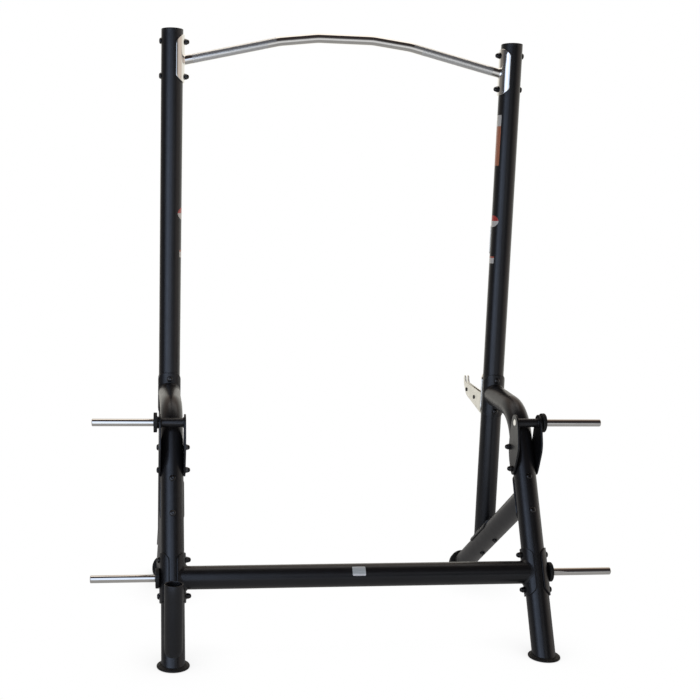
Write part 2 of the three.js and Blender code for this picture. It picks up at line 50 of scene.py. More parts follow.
UP, FRONT, BACK = Vector((0, 0, 1)), Vector((0, 1, 0)), Vector((0, -1, 0))
ACROSS = Vector((1, 0, 0))
SIDES = {"left": -1, "right": 1}
# The main tubes and the plates rolled to fit round them.
TUBE_R = 38.1
TUBE_WALL = 3.0
GAP = 0.3
PLATE_IN = TUBE_R + GAP
PLATE_THICK = 5.0
PLATE_OUT = PLATE_IN + PLATE_THICK
COPE_R = PLATE_IN + 1.5
TOP = 2048.0
CAP_THICK = 5.0
WRAP = math.radians(72)
SADDLE_LENGTH = 160
# A tube that meets a post has its last plain ring this far from the post's axis.
COPE_START = 70

# Heights of the joints, and how far bolts are from them.
BAR_PLATE_Z = 1947.0
COLLAR_Z = 769.5
CROSS_Z = 249.0
BOLT_OFFSET = 58.5

# Legs and braces are lines in the Y-Z plane: Y at the floor, and the slope in Y per Z.
LEG_FOOT_Y, LEG_SLOPE = -667.6, 0.5033
LEG_TOP_Y, LEG_TOP_Z, LEG_TOP_FALL, LEG_BEND_R = -90, 773.0, 0.07, 150.0
BRACE_FOOT_Y, BRACE_SLOPE, BRACE_END_Z = 287.2, 1.467, 33.0
BASE_LENGTH, BASE_SHIFT, BASE_BOLT = 216.0, -45.0, 80.0
FLANGE_THICK = 9.0

# The pull-up bar, with its knurl on both sides of the centre, and the pegs with their stops.
BAR_R, BAR_BEND_R, KNURL_FROM, KNURL_TO, KNURL_PITCH = 15.9, 200.0, 262, 545, 2.4
PEG_R, PEG_TIP, HUB_R, HUB_THICK, HUB_NECK_R, UPPER_HUB_NECK = 12.5, 874.0, 33.0, 12.0, 20, 5.7
UPPER_PEG_Y, UPPER_PEG_Z = -380.0, 731.0
# Peg brackets, spotter arms, bar hooks and the holes that take the hooks.
BRACKET_THICK, BRACKET_TUBE_R = 6.0, 15
BRACKET_BOLTS = {"upper": 640, "lower": 570}
ARM_PLATE_THICK, ARM_PLATE_OFF = 4, 6.2
HOOK_Z = 1350.0
HOLE_LOWEST, HOLE_PITCH, HOLE_COUNT, HOLE_R = 950, 100, 9, 8.3

# Points in a ring, the gaps between rings and between outline points, and where shading breaks.
RING, RING_SPACING, OUTLINE_SPACING, PLATE_SPACING, SAME_POINT = 72, 36, 12, 9, 0.2
CREASE = math.radians(32)
# Steps round the quarter circle of a rounded edge.
EDGE_STEPS = (math.pi / 6, math.pi / 3, math.pi / 2)


def centre_x(node):
    low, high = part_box(node)
    return (low.x + high.x) / 2 / MM


HALF_SPAN = (centre_x("upright_right") - centre_x("upright_left")) / 2
# Pieces are built with the upright axes at Y = 0, then moved to where the CAD has them.
cap_low, cap_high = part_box("upright_cap_left")
SHIFT = Vector((0, (cap_low.y + cap_high.y) / 2, 0))

leg_up = Vector((0, LEG_SLOPE, 1)).normalized()
leg_front = Vector((0, leg_up.z, -leg_up.y))
brace_down = Vector((0, BRACE_SLOPE, -1)).normalized()
brace_top = Vector((0, -brace_down.z, brace_down.y))
CROSSING_Z = BRACE_FOOT_Y / BRACE_SLOPE
MEETING_Z = (BRACE_FOOT_Y - LEG_FOOT_Y) / (LEG_SLOPE + BRACE_SLOPE)


def on_leg(x, z):
    return Vector((x, LEG_FOOT_Y + LEG_SLOPE * z, z))


def on_brace(x, z):
    return Vector((x, BRACE_FOOT_Y - BRACE_SLOPE * z, z))


# ---- mesh building --------

def placed(name, bm):
    """A mesh in metres, in the row frame, from a shape built in millimetres about the upright axes."""
    bmesh.ops.remove_doubles(bm, verts=bm.verts, dist=1e-3)
    bmesh.ops.recalc_face_normals(bm, faces=bm.faces)
    bmesh.ops.scale(bm, vec=Vector((MM, MM, MM)), verts=bm.verts)
    bmesh.ops.translate(bm, vec=SHIFT, verts=bm.verts)
    mesh = bpy.data.meshes.new(name)
    bm.to_mesh(mesh)
    bm.free()
    return mesh


def shade(mesh):
    mesh.shade_smooth()
    mesh.set_sharp_from_angle(angle=CREASE)


def in_scene(name, data):
    """A new object for some data, linked to the scene."""
    obj = bpy.data.objects.new(name, data)
    bpy.context.scene.collection.objects.link(obj)
    return obj


def finish_mesh(name, bm, material, nodes=(), body="frame"):
    """A named, smooth-shaded object on a body, standing for the CAD nodes given."""
    mesh = placed(name, bm)
    shade(mesh)
    obj = in_scene(name, mesh)
    mesh.materials.append(material)
    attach(obj, body)
    if nodes:
        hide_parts(*nodes)
    return obj


def skin(rings, loop=False, bm=None):
    """A closed surface through rings of points; the ends are filled unless the rings form a loop."""
    bm = bm or bmesh.new()
    rows = [[bm.verts.new(p) for p in ring] for ring in rings]
    pairs = list(zip(rows, rows[1:])) + ([(rows[-1], rows[0])] if loop else [])
    for lower, upper in pairs:
        for i in range(len(lower)):
            j = (i + 1) % len(lower)
            bm.faces.new((lower[i], lower[j], upper[j], upper[i]))
    if not loop:
        bm.faces.new(list(reversed(rows[0])))
        bm.faces.new(rows[-1])
    return bm


def drill(obj, cutter):
    """Cuts a set of closed shapes out of an object and keeps the result as its mesh."""
    tool = in_scene("cutter", placed("cutter", cutter))
    modifier = obj.modifiers.new("drill", "BOOLEAN")
    modifier.object, modifier.operation, modifier.solver = tool, "DIFFERENCE", "EXACT"
    bpy.context.view_layer.update()
    cut = bpy.data.meshes.new_from_object(obj.evaluated_get(bpy.context.evaluated_depsgraph_get()))
    obj.modifiers.clear()
    old, obj.data = obj.data, cut
    bpy.data.meshes.remove(old)
    bpy.data.objects.remove(tool)
    shade(cut)


def axes(direction, hint):
    """Two unit vectors square to a direction, the first as near the hint as it can be."""
    d = direction.normalized()
    a = (hint - d * hint.dot(d)).normalized()
    return a, d.cross(a)


def circle(centre, radius, a, b, count=RING):
    points = []
    for i in range(count):
        t = 2 * math.pi * i / count
        points.append(centre + radius * (math.cos(t) * a + math.sin(t) * b))
    return points


def softened(profile, radius, steps=4):
    """A polyline with every inner corner rounded, as far as its neighbours allow."""
    out = [Vector(profile[0])]
    for before, corner, after in zip(profile, profile[1:], profile[2:]):
        corner = Vector(corner)
        u, v = Vector(before) - corner, Vector(after) - corner
        reach = min(radius, 0.45 * u.length, 0.45 * v.length)
        start, end = corner + u.normalized() * reach, corner + v.normalized() * reach
        for k in range(steps + 1):
            t = k / steps
            out.append((1 - t) ** 2 * start + 2 * t * (1 - t) * corner + t ** 2 * end)
    out.append(Vector(profile[-1]))
    return out


def lathe(profile, origin, direction, count=RING, bm=None, shape=None):
    """A profile of (radius, distance) turned about a direction; shape(r, angle) can trim the radius."""
    d = direction.normalized()
    a, b = axes(d, UP if abs(d.dot(UP)) < 0.9 else ACROSS)
    rings = []
    for r, h in profile:
        ring = []
        for i in range(count):
            t = 2 * math.pi * i / count
            trimmed = shape(r, t) if shape else r
            ring.append(origin + d * h + trimmed * (math.cos(t) * a + math.sin(t) * b))
        rings.append(ring)
    return skin(rings, bm=bm)


def hit_tube(point, direction, on_axis, axis, radius):
    """The first place where a line from a point meets a round tube, going along the direction."""
    p = (point - on_axis) - axis * (point - on_axis).dot(axis)
    d = direction - axis * direction.dot(axis)
    a, b, c = d.dot(d), 2 * p.dot(d), p.dot(p) - radius * radius
    root = math.sqrt(max(b * b - 4 * a * c, 0))
    return point + direction * ((-b - root) / (2 * a))


def bent_path(corners, bend_radius, steps):
    """Stations (point, tangent) of straight runs joined by round bends, none far from the next."""
    stations = []
    last = len(corners) - 1
    for i, corner in enumerate(corners):
        if i in (0, last):
            run = corners[1] - corner if i == 0 else corner - corners[i - 1]
            stations.append((corner, run.normalized()))
            continue
        before = (corner - corners[i - 1]).normalized()
        after = (corners[i + 1] - corner).normalized()
        turn = before.angle(after)
        inward = (after - before).normalized()
        along = (before + after).normalized()
        centre = corner + inward * bend_radius / math.cos(turn / 2)
        for k in range(steps + 1):
            t = (k / steps - 0.5) * turn
            place = centre - inward * bend_radius * math.cos(t) + along * bend_radius * math.sin(t)
            stations.append((place, along * math.cos(t) + inward * math.sin(t)))
    dense = []
    for (start, tangent), (end, _) in zip(stations, stations[1:]):
        dense += [(p, tangent) for p in closer(start, end, RING_SPACING)[:-1]]
    return dense + stations[-1:]


def tube_rings(stations, radius, across, count=RING):
    """Rings along a flat path; across is the direction square to the path's plane."""
    return [circle(p, radius, across, t.cross(across).normalized(), count) for p, t in stations]


def closer(start, end, spacing):
    """Points from start to end no further apart than the spacing."""
    n = max(1, math.ceil((end - start).length / spacing))
    return [start.lerp(end, k / n) for k in range(n + 1)]


def rounded_rectangle(width, height, corner, spacing):
    """Corner arcs joined by straight runs, whose points are about a spacing apart."""
    steps = 8
    x, y = width / 2 - corner, height / 2 - corner
    centres = [(x, y), (-x, y), (-x, -y), (x, -y)]
    points = []
    for i, (cx, cy) in enumerate(centres):
        for k in range(steps + 1):
            t = math.radians(90 * i + 90 * k / steps)
            points.append(Vector((cx + corner * math.cos(t), cy + corner * math.sin(t))))
        end, following = points[-1], centres[(i + 1) % 4]
        goal = Vector(following) + corner * Vector((math.cos(t), math.sin(t)))
        count = max(2, int((goal - end).length / spacing))
        points += [end.lerp(goal, k / count) for k in range(1, count)]
    return points


def rolled_plate(centre, facing, along, length, inner=PLATE_IN, thick=PLATE_THICK, wrap=WRAP,
                 corner=26.0, edge=1.3, spacing=PLATE_SPACING):
    """A plate with rounded corners and edges, rolled round a tube axis, bulging towards facing."""
    outer = inner + thick
    width = 2 * outer * math.sin(wrap)
    side = along.cross(facing)
    outline = rounded_rectangle(width, length, corner, spacing)
    spine = max(length - width, 0) / 2

    def ring(radius, inset):
        points = []
        for p in outline:
            middle = Vector((0, max(-spine, min(spine, p.y))))
            reach = p - middle
            q = middle + reach * max(0.0, 1 - inset / reach.length)
            theta = math.asin(max(-1, min(1, q.x / outer)))
            points.append(centre + along * q.y
                          + radius * (math.cos(theta) * facing + math.sin(theta) * side))
        return points

    steps = [width / 2 * k / 9 for k in range(9, 0, -1)]
    rings = [ring(inner, width)]
    rings += [ring(inner, s) for s in steps if s > edge * 2]
    rings += [ring(inner, edge * 0.4), ring(inner + edge * 0.4, 0), ring(outer - edge, 0)]
    rings += [ring(outer - edge * (1 - math.sin(t)), edge * (1 - math.cos(t)))
              for t in (math.pi / 8, math.pi / 4, 3 * math.pi / 8, math.pi / 2)]
    rings += [ring(outer, edge * 1.6)]
    rings += [ring(outer, s) for s in reversed(steps) if s > edge * 2]
    rings += [ring(outer, width)]
    return skin(rings)


def flat_plate(outline, x_low, x_high, edge=0.8):
    """A flat outline in the Y-Z plane given thickness across X, with rounded edges."""
    points = [Vector(p) for p in outline]
    count = len(points)
    area = sum(points[i].x * points[(i + 1) % count].y - points[(i + 1) % count].x * points[i].y
               for i in range(count))
    turn = 1 if area > 0 else -1
    normals = []
    for i in range(count):
        run = points[(i + 1) % count] - points[i - 1]
        normals.append(Vector((-run.y, run.x)).normalized() * turn)

    def ring(x, inset):
        return [Vector((x, p.x + n.x * inset, p.y + n.y * inset)) for p, n in zip(points, normals)]

    arc = [(edge * (1 - math.cos(t)), edge * (1 - math.sin(t)))
           for t in (0, *EDGE_STEPS)]
    rings = [ring(x_low, edge * 2)] + [ring(x_low + dx, inset) for dx, inset in arc]
    rings += [ring(x_high - dx, inset) for dx, inset in reversed(arc)] + [ring(x_high, edge * 2)]
    return skin(rings)


def drawn(*moves):
    """An outline from points, ("Q", control, end) curves and ("A", centre, r, from, to) arcs."""
    points = []
    for move in moves:
        if move[0] == "Q":
            start, control, end = points[-1], Vector(move[1]), Vector(move[2])
            for k in range(1, 11):
                t = k / 10
                points.append((1 - t) ** 2 * start + 2 * t * (1 - t) * control + t * t * end)
        elif move[0] == "A":
            centre, r, low, high = Vector(move[1]), move[2], math.radians(move[3]), math.radians(move[4])
            for k in range(17):
                t = low + (high - low) * k / 16
                points.append(centre + r * Vector((math.cos(t), math.sin(t))))
        else:
            points.append(Vector(move))
    clean = []
    for p in points:
        if not clean or (p - clean[-1]).length > SAME_POINT:
            clean.append(p)
    if (clean[0] - clean[-1]).length < SAME_POINT:
        clean.pop()
    dense = []
    for i, p in enumerate(clean):
        goal = clean[(i + 1) % len(clean)]
        n = max(1, round((goal - p).length / OUTLINE_SPACING))
        dense += [p.lerp(goal, k / n) for k in range(n)]
    return dense


WELD_RIPPLE, WELD_SINK = 3.6, 1.2


def weld(bm, point, direction, radius, on_axis, axis, plate_radius, size=4.0):
    """A rippled fillet where a round tube, aimed along a direction, meets a rolled plate."""
    a, b = axes(direction, axis)
    count = 180
    ripples = round(2 * math.pi * radius / WELD_RIPPLE)
    rings = []
    for i in range(count):
        t = 2 * math.pi * i / count
        out = math.cos(t) * a + math.sin(t) * b
        root = hit_tube(point + radius * out, direction, on_axis, axis, plate_radius)
        normal = root - on_axis
        normal = (normal - axis * normal.dot(axis)).normalized()
        on_plate = (out - normal * out.dot(normal)).normalized()
        swell = size * (1 + 0.05 * math.sin(2 * math.pi * ripples * i / count))
        toe, top = on_plate * size, -direction * size
        ring = []
        for k in range(6):
            u = k / 5
            bulge = 0.8 * u * (1 - u) * (toe + top) * swell / size
            ring.append(root + (1 - u) ** 2 * toe + u ** 2 * top + bulge)
        inward, under = out * WELD_SINK, normal * WELD_SINK
        ring += [root + top * 0.5 - inward, root - inward - under, root + toe * 0.5 - under]
        rings.append(ring)
    return skin(rings, loop=True, bm=bm)


# ---- fasteners --------

BOLT_R, WASHER_R, HEAD_R, NUT_R, NUT_FLAT, NUT_RISE, DOME_R = 5.8, 11.0, 10.0, 10.0, 8.6, 8.0, 8.2
SOCKET_R, SOCKET_FLAT, THREAD_PITCH = 4.2, 3.5, 1.1


def hexagon(apothem, within=math.inf):
    """Trims a lathe's rings to a hexagon, where they are inside a radius."""
    def trim(r, t):
        flat = apothem / math.cos((t % (math.pi / 3)) - math.pi / 6)
        return min(r, flat) if r <= within else r
    return trim


def bolt(name, centre, to_nut, head_seat, nut_seat, acorn):
    """Button head with a hex socket and a washer, shank, washer and nut, as one piece."""
    under = centre - to_nut * head_seat
    seat = centre + to_nut * nut_seat
    back = -to_nut
    washer = softened([(0, 0.1), (WASHER_R, 0.1), (WASHER_R, 1.7), (0, 1.7)], 0.5, 3)
    bm = lathe(washer, under, back, 40)
    head = softened([(0, 1.8), (HEAD_R, 1.8), (HEAD_R, 3.1), (8.8, 5.0), (6.6, 6.3), (4.6, 6.9)], 1.2, 4)
    socket = [(4.4, 6.9), (4.1, 6.6), (4.1, 3.9), (3.9, 3.7), (0, 3.4)]
    lathe(head + socket, under, back, 48, bm=bm, shape=hexagon(SOCKET_FLAT, SOCKET_R))
    lathe(washer, seat, to_nut, 40, bm=bm)
    nut = [(0, 1.8), (NUT_FLAT, 1.8), (NUT_R, 2.5), (NUT_R, NUT_RISE - 0.7), (NUT_FLAT, NUT_RISE),
           (0, NUT_RISE)]
    lathe(nut, seat, to_nut, 48, bm=bm, shape=hexagon(NUT_FLAT))
    if acorn:
        dome = [(0, -1), (DOME_R, -1), (DOME_R, 1.2), (7.8, 3.4), (6.4, 5.8), (4.0, 7.4), (2.0, 7.9), (0, 8)]
        dome = [(r, NUT_RISE + h) for r, h in dome]
        lathe(softened(dome, 1.6, 3), seat, to_nut, 40, bm=bm)
    else:
        thread = [(0, 0)]
        for k in range(4):
            h = NUT_RISE - 1 + k * THREAD_PITCH
            thread += [(BOLT_R - 0.7, h), (BOLT_R - 0.1, h + 0.55)]
        thread += [(BOLT_R - 1.2, NUT_RISE + 3.0), (0, NUT_RISE + 3.0)]
        lathe(thread, seat, to_nut, 32, bm=bm)
    length = (seat - under).length
    shank_r = BOLT_R - 0.6
    lathe([(0, -1), (shank_r, -1), (shank_r, length + 1), (0, length + 1)], under, to_nut, 24, bm=bm)
    finish_mesh(name + "_set", bm, black_oxide, [name])


def bolt_pair(label, side_name, centre, along, offset, **rest):
    """An upper and a lower bolt, an offset each way along a line."""
    for word, way in (("upper", 1), ("lower", -1)):
        bolt(f"{label}_bolt_{word}_{side_name}", centre + along * offset * way, **rest)


# ---- materials --------

def new_material(name, slot, **principled):
    """A material for a slot of the record, with its node tree and its shader."""
    material = bpy.data.materials.new(name)
    material.use_nodes = True
    material["slot"] = slot
    shader = material.node_tree.nodes["Principled BSDF"]
    for key, value in principled.items():
        shader.inputs[key.replace("_", " ")].default_value = value
    return material, material.node_tree, shader


def node(tree, kind, **settings):
    made = tree.nodes.new(kind)
    for key, value in settings.items():
        if key in made.inputs:
            made.inputs[key].default_value = value
        else:
            setattr(made, key, value)
    return made


def object_space(tree, stretch=(1, 1, 1)):
    """Object coordinates, in metres, stretched along each axis."""
    place = node(tree, "ShaderNodeTexCoord")
    scale = node(tree, "ShaderNodeMapping")
    scale.inputs["Scale"].default_value = stretch
    tree.links.new(place.outputs["Object"], scale.inputs["Vector"])
    return scale.outputs["Vector"]


def coordinates(tree, kind):
    """The X, Y and Z of one kind of texture coordinate."""
    place = tree.nodes.new("ShaderNodeTexCoord")
    split = tree.nodes.new("ShaderNodeSeparateXYZ")
    tree.links.new(place.outputs[kind], split.inputs["Vector"])
    return [split.outputs[axis] for axis in "XYZ"]


def fade(tree, value, low, high, way="SMOOTHSTEP"):
    """Rises from 0 to 1 as a value goes from low to high."""
    made = node(tree, "ShaderNodeMapRange", interpolation_type=way)
    made.inputs["From Min"].default_value, made.inputs["From Max"].default_value = low, high
    tree.links.new(value, made.inputs["Value"])
    return made.outputs["Result"]


def noise(tree, where, scale, detail=3.0, roughness=0.55):
    made = node(tree, "ShaderNodeTexNoise", Scale=scale, Detail=detail, Roughness=roughness)
    tree.links.new(where, made.inputs["Vector"])
    return made.outputs["Fac"]


def ramp(tree, fac, *stops):
    """A colour ramp; stops are (position, colour or grey)."""
    made = tree.nodes.new("ShaderNodeValToRGB")
    elements = made.color_ramp.elements
    while len(elements) < len(stops):
        elements.new(0.5)
    for element, (position, colour) in zip(elements, stops):
        element.position = position
        element.color = (*colour, 1) if isinstance(colour, tuple) else (colour, colour, colour, 1)
    tree.links.new(fac, made.inputs["Fac"])
    return made.outputs["Color"]


def calc(tree, operation, *values):
    """The result of a math node; each value is another node's output or a number."""
    made = node(tree, "ShaderNodeMath", operation=operation)
    for value, socket in zip(values, made.inputs):
        if isinstance(value, (int, float)):
            socket.default_value = value
        else:
            tree.links.new(value, socket)
    return made.outputs["Value"]


def bump(tree, shader, *layers):
    """Stacked bump layers of (height output, strength, distance in metres)."""
    last = None
    for height, strength, distance in layers:
        made = node(tree, "ShaderNodeBump", Strength=strength, Distance=distance)
        tree.links.new(height, made.inputs["Height"])
        if last:
            tree.links.new(last, made.inputs["Normal"])
        last = made.outputs["Normal"]
    tree.links.new(last, shader.inputs["Normal"])


def mix_colour(tree, fac, first, second):
    made = node(tree, "ShaderNodeMix", data_type="RGBA")
    for source, socket in ((fac, made.inputs["Factor"]), (first, made.inputs[6]), (second, made.inputs[7])):
        if isinstance(source, tuple):
            socket.default_value = (*source, 1)
        elif isinstance(source, float):
            socket.default_value = source
        else:
            tree.links.new(source, socket)
    return made.outputs[2]


def painted_edge_highlight(tree):
    """Painted highlight: white along sharp convex edges, broken up by noise."""
    geometry = tree.nodes.new("ShaderNodeNewGeometry")
    edge = ramp(tree, geometry.outputs["Pointiness"], (0.57, 0.0), (0.68, 1.0))
    patches = ramp(tree, noise(tree, object_space(tree), 60.0, 4.0), (0.42, 0.0), (0.62, 1.0))
    return calc(tree, "MULTIPLY", edge, patches)


def feed(tree, shader, colour, gloss):
    tree.links.new(colour, shader.inputs["Base Color"])
    tree.links.new(gloss, shader.inputs["Roughness"])


def make_powder_coat(name, dark, light, rough):
    """Sprayed satin powder coat: fine orange peel, slow drifts of tone and gloss, and a thin painted
    highlight along sharp edges.
    """
    material, tree, shader = new_material(name, "powder_coat", Coat_Weight=0.12, Coat_Roughness=0.25,
                                          Specular_Tint=(0.82, 0.88, 1.0, 1.0))
    where = object_space(tree)
    tone = ramp(tree, noise(tree, where, 9.0, 5.0), (0.3, dark), (0.7, light))
    # Painted highlight: the dark coat turns grey along sharp edges.
    tone_with_edge_highlight = mix_colour(tree, painted_edge_highlight(tree), tone, (0.10, 0.10, 0.10))
    gloss = ramp(tree, noise(tree, where, 35.0, 4.0), (0.3, rough - 0.03), (0.7, rough + 0.05))
    feed(tree, shader, tone_with_edge_highlight, gloss)
    bump(tree, shader, (noise(tree, where, 420.0, 2.0), 0.16, 0.0006),
         (noise(tree, where, 1500.0, 2.0), 0.10, 0.0002))
    return material


def make_metal(name, slot, dark, light, rough, stretch, grain, peel, coat=0.0):
    """A metal with fine directional grain, smudges in its gloss and a slight drift of tone."""
    material, tree, shader = new_material(name, slot, Metallic=1.0, Coat_Weight=coat)
    where = object_space(tree)
    brushed = noise(tree, object_space(tree, stretch), 700.0, 3.0)
    tone = ramp(tree, noise(tree, where, 22.0, 4.0), (0.3, dark), (0.7, light))
    smudge = noise(tree, where, 48.0, 5.0, 0.65)
    feed(tree, shader, tone, ramp(tree, smudge, (0.32, rough[0]), (0.72, rough[1])))
    bump(tree, shader, (brushed, grain, 0.0002), (noise(tree, where, 60.0, 2.0), peel, 0.0008))
    return material


def make_knurl(name, slot, start, fall, radius, pitch):
    """Satin plate with a diamond knurl, on straight runs that leave a point and its mirror image and
    fall away from the centre plane. Lengths are in metres."""
    material, tree, shader = new_material(name, slot, Metallic=0.75)
    x, y, z = coordinates(tree, "Object")
    dx = calc(tree, "SUBTRACT", calc(tree, "ABSOLUTE", x), start.x)
    dy = calc(tree, "SUBTRACT", y, start.y)
    dz = calc(tree, "SUBTRACT", z, start.z)
    cos, sin = math.cos(fall), math.sin(fall)
    along = calc(tree, "SUBTRACT", calc(tree, "MULTIPLY", dx, cos), calc(tree, "MULTIPLY", dz, sin))
    above = calc(tree, "ADD", calc(tree, "MULTIPLY", dx, sin), calc(tree, "MULTIPLY", dz, cos))
    around = calc(tree, "MULTIPLY", calc(tree, "ARCTAN2", dy, above), radius)
    ridges = [calc(tree, "ABSOLUTE", calc(tree, "SINE", calc(tree, "MULTIPLY", math.pi / pitch,
              calc(tree, way, along, around)))) for way in ("ADD", "SUBTRACT")]
    diamonds = calc(tree, "MULTIPLY", *ridges)
    where = object_space(tree)
    # Painted shade: the grooves between the diamonds are coloured darker than the diamond tops.
    tone = ramp(tree, diamonds, (0.0, (0.62, 0.63, 0.63)), (0.45, (0.86, 0.87, 0.87)))
    feed(tree, shader, tone, ramp(tree, noise(tree, where, 48.0, 5.0, 0.65), (0.32, 0.22), (0.72, 0.27)))
    bump(tree, shader, (diamonds, 0.14, 0.0003), (noise(tree, where, 900.0, 2.0), 0.05, 0.0002))
    return material


def make_rubber(name, slot, dark, light, rough, scale, strength):
    """Moulded rubber or plastic: a fine pebble texture and a slow random drift of tone."""
    material, tree, shader = new_material(name, slot)
    shader.inputs["Specular IOR Level"].default_value = 0.4
    where = object_space(tree)
    tone = ramp(tree, noise(tree, where, 30.0, 6.0, 0.7), (0.35, dark), (0.75, light))
    gloss = ramp(tree, noise(tree, where, 70.0, 4.0), (0.3, rough - 0.08), (0.7, rough + 0.08))
    feed(tree, shader, tone, gloss)
    cells = node(tree, "ShaderNodeTexVoronoi", Scale=scale)
    tree.links.new(where, cells.inputs["Vector"])
    bump(tree, shader, (cells.outputs["Distance"], strength, 0.0003),
         (noise(tree, where, 260.0, 3.0), 0.15, 0.0003))
    return material


def make_sticker(name, slot, field, band, edges, metallic=0.0):
    """A printed foil with plain bands and no lettering. edges are the heights, in metres, of the bands."""
    material, tree, shader = new_material(name, slot, Metallic=metallic, Coat_Weight=0.5)
    height = coordinates(tree, "Object")[2]
    span = edges[-1] - edges[0]
    stops = [((e - edges[0]) / span, band if i % 2 else field) for i, e in enumerate(edges[:-1])]
    colours = ramp(tree, fade(tree, height, edges[0], edges[-1], "LINEAR"), *stops)
    colours.node.color_ramp.interpolation = "CONSTANT"
    where = object_space(tree)
    scuffs = ramp(tree, noise(tree, where, 220.0, 4.0), (0.5, 0.0), (0.8, 0.25))
    scuffed = mix_colour(tree, scuffs, colours, (0.45, 0.43, 0.40))
    feed(tree, shader, scuffed, ramp(tree, noise(tree, where, 90.0, 3.0), (0.3, 0.28), (0.7, 0.42)))
    bump(tree, shader, (noise(tree, where, 500.0, 2.0), 0.1, 0.0002))
    return material


powder_coat = make_powder_coat("powder_coat", (0.0085, 0.0078, 0.0080), (0.0120, 0.0112, 0.0115), 0.32)
chrome = make_metal("chrome", "chrome", (0.80, 0.80, 0.79), (0.86, 0.86, 0.85), (0.035, 0.06),
                    (1, 1, 0.05), 0.006, 0.008)
satin_nickel = make_metal("satin_nickel", "satin_nickel", (0.74, 0.735, 0.70), (0.82, 0.815, 0.78),
                          (0.26, 0.38), (1, 0.04, 1), 0.22, 0.04)
black_oxide = make_metal("black_oxide", "black_oxide", (0.030, 0.030, 0.032), (0.055, 0.055, 0.058),
                         (0.20, 0.34), (1, 1, 1), 0.10, 0.06, coat=0.30)
rubber = make_rubber("rubber", "rubber", (0.0075, 0.0075, 0.0080), (0.0150, 0.0148, 0.0145),
                     0.62, 900.0, 0.30)
foil = make_sticker("label_foil", "satin_nickel", (0.95, 0.96, 0.97), (0.66, 0.70, 0.70),
                    (0.255, 0.2645, 0.285), metallic=0.10)
tall_film = make_sticker("label_tall", "black_plastic", (0.50, 0.17, 0.09), (0.62, 0.60, 0.57),
                         (1.617, 1.757, 1.797))
oval_film = make_sticker("label_oval", "black_plastic", (0.62, 0.60, 0.57), (0.50, 0.035, 0.03),
                         (1.396, 1.418, 1.438))
small_film = make_sticker("label_small", "black_plastic", (0.62, 0.60, 0.57), (0.50, 0.10, 0.06),
                          (1.263, 1.283, 1.289))
plastic = make_rubber("black_plastic", "black_plastic", (0.0080, 0.0080, 0.0088), (0.0120, 0.0120, 0.0130),
                      0.42, 1400.0, 0.18)


# ---- pieces --------

def straight(start, end, spacing=RING_SPACING):
    """Stations (point, tangent) of a straight run."""
    direction = (end - start).normalized()
    return [(p, direction) for p in closer(start, end, spacing)]


def cope_ring(ring, direction, on_axis, axis, radius):
    """Slides a ring's points along a direction until they meet a round tube."""
    return [hit_tube(p, direction, on_axis, axis, radius) for p in ring]


def upright(name, side):
    """The upright tube, its open wall showing in the hook holes, on its rolled foot plate."""
    x = side * HALF_SPAN
    foot, head = Vector((x, 0, 300)), Vector((x, 0, TOP - CAP_THICK - GAP))
    outside = [circle(p, TUBE_R, ACROSS, FRONT) for p, _ in straight(foot, head, 40)]
    inside = [circle(p, TUBE_R - TUBE_WALL, ACROSS, FRONT) for p, _ in straight(foot, head, 40)]
    crossing = on_brace(x, CROSSING_Z)
    start = cope_ring([p + UP * 200 for p in outside[0]], -UP, crossing, brace_down, COPE_R)
    start_in = cope_ring([p + UP * 200 for p in inside[0]], -UP, crossing, brace_down, COPE_R)
    bm = skin([start] + outside + list(reversed(inside)) + [start_in], loop=True)
    tube = finish_mesh(f"upright_{name}_tube", bm, powder_coat, [f"upright_{name}"])
    cutter = bmesh.new()
    for i in range(HOLE_COUNT):
        place = Vector((x, 20, HOLE_LOWEST + HOLE_PITCH * i))
        lathe([(0, 0), (HOLE_R, 0), (HOLE_R, 40), (0, 40)], place, FRONT, 32, bm=cutter)
    drill(tube, cutter)

    bm = rolled_plate(crossing + brace_down * BASE_SHIFT, brace_top, brace_down, BASE_LENGTH)
    weld(bm, Vector((x, 0, 500)), -UP, TUBE_R, crossing, brace_down, PLATE_OUT)
    finish_mesh(f"upright_{name}_foot_plate", bm, powder_coat)

    cap = softened([(0, -8), (TUBE_R - 6, -8), (TUBE_R - 6, 0), (TUBE_R - 0.1, 0), (TUBE_R - 0.1, 2.6),
                    (TUBE_R - 3.4, 3.6), (TUBE_R - 12, 4.6), (0, CAP_THICK)], 1.0, 4)
    bm = lathe(cap, Vector((x, 0, TOP - CAP_THICK)), UP, 96)
    finish_mesh(f"upright_{name}_cap", bm, plastic, [f"upright_cap_{name}"])


def rear_leg(name, side):
    """The bent tube, cut square to the floor at its foot, and the collar plate behind the upright."""
    x = side * HALF_SPAN
    run = math.tan(LEG_TOP_FALL)
    bend_z = (LEG_TOP_Z + run * (LEG_FOOT_Y + PLATE_OUT)) / (1 - run * LEG_SLOPE)
    top = Vector((x, LEG_TOP_Y, LEG_TOP_Z + run * (PLATE_OUT + LEG_TOP_Y)))
    corners = [top, on_leg(x, bend_z), on_leg(x, 60)]
    rings = tube_rings(bent_path(corners, LEG_BEND_R, 28), TUBE_R, ACROSS)
    forward = (top - corners[1]).normalized()
    start = cope_ring([p - forward * 60 for p in rings[0]], forward, Vector((x, 0, 0)), UP, COPE_R)
    floor = FLANGE_THICK + GAP
    end = [p - leg_up * ((p.z - floor) / leg_up.z) for p in rings[-1]]
    bm = skin([start] + rings + [end])
    finish_mesh(f"rear_leg_{name}_tube", bm, powder_coat, [f"rear_leg_{name}"])
    bm = rolled_plate(Vector((x, 0, COLLAR_Z)), BACK, UP, SADDLE_LENGTH)
    weld(bm, top, forward, TUBE_R, Vector((x, 0, 0)), UP, PLATE_OUT)
    finish_mesh(f"rear_leg_{name}_collar", bm, powder_coat)


